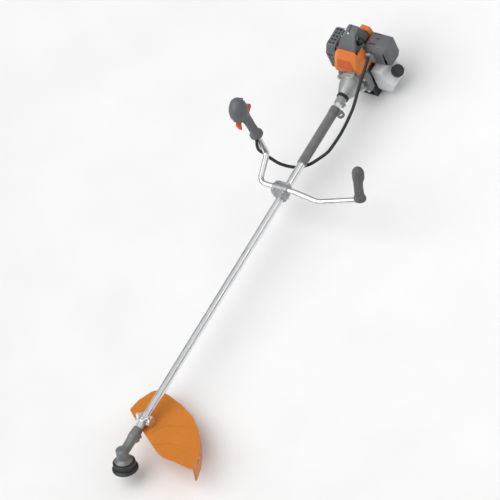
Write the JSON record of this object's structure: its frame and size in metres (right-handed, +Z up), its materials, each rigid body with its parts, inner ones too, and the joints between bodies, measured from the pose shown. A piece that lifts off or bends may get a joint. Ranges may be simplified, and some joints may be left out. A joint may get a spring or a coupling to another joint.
{
  "type": "string trimmer",
  "caption": "Petrol string trimmer: engine with clutch housing, straight shaft, bullhorn handlebar with throttle handle, orange guard and bump-feed line head.",
  "frame": {"origin": "middle of the stand's foot, on the ground", "axes": "+X forward along the shaft to the cutting head, +Y to the operator's left, +Z up"},
  "size_m": [1.7972, 0.5193, 0.4191],
  "materials": {
    "polished_aluminium": "polished",
    "cast_aluminium": "cast, satin",
    "zinc_plate": "zinc plated",
    "steel": "machined",
    "gear_grey": "grey lacquer on cast metal",
    "bronze": "sintered",
    "foam_grey": "closed-cell foam",
    "grip_rubber": "moulded, matt",
    "handle_grey": "fine grain",
    "cover_grey": "fine grain",
    "black_plastic": "satin",
    "cable_black": "smooth",
    "cover_orange": "gloss",
    "guard_orange": "satin",
    "trigger_orange": "gloss",
    "switch_red": "gloss",
    "tank_white": "translucent",
    "paper": "pleated",
    "line_nylon": "drawn",
    "ceramic": "glazed"
  },
  "bodies": {
    "root": {"shaft_tube": "polished_aluminium", "handlebar_tube": "polished_aluminium", "shaft_bushings": "bronze", "grip_sleeve": "foam_grey", "harness_bracket": "handle_grey", "handlebar_clamp_base": "cast_aluminium", "handlebar_clamp_cap": "cast_aluminium", "left_grip": "grip_rubber", "throttle_shell_left": "handle_grey", "throttle_shell_right": "handle_grey", "throttle_cable": "cable_black", "clamp_screws": "zinc_plate", "guard": "guard_orange", "guard_bracket": "zinc_plate", "guard_clamp_cap": "zinc_plate", "gearcase": "gear_grey", "gear_bearings": "steel", "clutch_housing": "cast_aluminium", "damper_ring": "cable_black", "tube_collar": "cast_aluminium", "clutch_rotor": "steel", "fan_housing": "gear_grey", "crankcase": "gear_grey", "crankshaft": "steel", "flywheel": "cast_aluminium", "cylinder": "cast_aluminium", "spark_plug": "ceramic", "spark_boot": "cable_black", "front_cover": "cover_orange", "top_cover": "cover_grey", "muffler": "steel", "muffler_guard": "cover_grey", "carburettor": "cast_aluminium", "air_filter_base": "black_plastic", "air_filter_element": "paper", "fuel_tank": "tank_white", "tank_stand": "black_plastic", "starter_housing": "cover_grey", "engine_screws": "zinc_plate"},
    "drive_line": {"drive_shaft": "steel", "pinion_gear": "steel", "clutch_drum": "steel"},
    "line_head": {"output_shaft": "steel", "output_gear": "steel", "head_housing": "black_plastic", "head_cover": "black_plastic", "head_spring": "steel"},
    "bump_feed": {"bump_knob": "black_plastic", "head_spool": "black_plastic", "trimmer_line": "line_nylon"},
    "trigger": {"throttle_trigger": "trigger_orange"},
    "lockout": {"trigger_lockout": "trigger_orange"},
    "switch": {"stop_switch": "switch_red"},
    "carb_arm": {"throttle_arm": "zinc_plate"},
    "choke": {"choke_lever": "black_plastic"},
    "cap_ring": {"fuel_cap_seal": "cable_black"},
    "cap": {"fuel_cap": "black_plastic"},
    "air_cover": {"air_filter_cover": "cover_grey"},
    "recoil_pulley": {"starter_pulley": "ceramic"},
    "recoil_handle": {"starter_handle": "black_plastic"}
  },
  "joints": [
    {"name": "drive_spin", "type": "hinge", "parent": "root", "child": "drive_line", "pos_m": [0.575, 0, 0.118], "axis": [1, 0, 0], "continuous": true},
    {"name": "head_spin", "type": "hinge", "parent": "root", "child": "line_head", "pos_m": [1.663, 0, 0.118], "axis": [0.2419, 0, -0.9703], "continuous": true},
    {"name": "bump_press", "type": "slide", "parent": "line_head", "child": "bump_feed", "axis": [-0.2419, 0, 0.9703], "range_m": [0, 0.005], "stiffness_N_per_m": 1500, "springref_m": -0.004},
    {"name": "trigger_pull", "type": "hinge", "parent": "root", "child": "trigger", "pos_m": [0.439, -0.15021, 0.34702], "axis": [0, 0.9917, 0.1289], "range_deg": [0, 18], "stiffness_Nm_per_rad": 0.4, "springref_deg": -11.46},
    {"name": "lockout_press", "type": "hinge", "parent": "root", "child": "lockout", "pos_m": [0.428, -0.14841, 0.33313], "axis": [0, 0.9917, 0.1289], "range_deg": [0, 12], "stiffness_Nm_per_rad": 0.3, "springref_deg": -11.46},
    {"name": "switch_slide", "type": "slide", "parent": "root", "child": "switch", "axis": [0, -0.1289, 0.9917], "range_m": [0, 0.004]},
    {"name": "throttle_open", "type": "hinge", "parent": "root", "child": "carb_arm", "pos_m": [-0.009, 0.058, 0.189], "axis": [0, 0, 1], "range_deg": [0, 72]},
    {"name": "choke_turn", "type": "hinge", "parent": "root", "child": "choke", "pos_m": [-0.035, 0, 0.152], "axis": [0, 1, 0], "range_deg": [0, 75]},
    {"name": "cap_lift", "type": "slide", "parent": "root", "child": "cap_ring", "axis": [0, 0.7071, 0.7071], "range_m": [0, 0.06]},
    {"name": "cap_turn", "type": "hinge", "parent": "cap_ring", "child": "cap", "pos_m": [-0.029, 0.104, 0.082], "axis": [0, 0.7071, 0.7071], "range_deg": [0, 540]},
    {"name": "air_cover_off", "type": "slide", "parent": "root", "child": "air_cover", "axis": [0, 1, 0], "range_m": [0, 0.12]},
    {"name": "starter_pull", "type": "slide", "parent": "root", "child": "recoil_handle", "axis": [0, 0, 1], "range_m": [0, 0.6], "stiffness_N_per_m": 8, "springref_m": -0.4},
    {"name": "starter_spin", "type": "hinge", "parent": "root", "child": "recoil_pulley", "pos_m": [-0.061, 0, 0.118], "axis": [-1, 0, 0], "range_deg": [0, 1300]}
  ],
  "couplings": [
    {"joint": "head_spin", "follows": "drive_spin", "ratio": -0.73684},
    {"joint": "throttle_open", "follows": "trigger_pull", "ratio": 4},
    {"joint": "starter_spin", "follows": "starter_pull", "rad_per_m": 35.714}
  ]
}
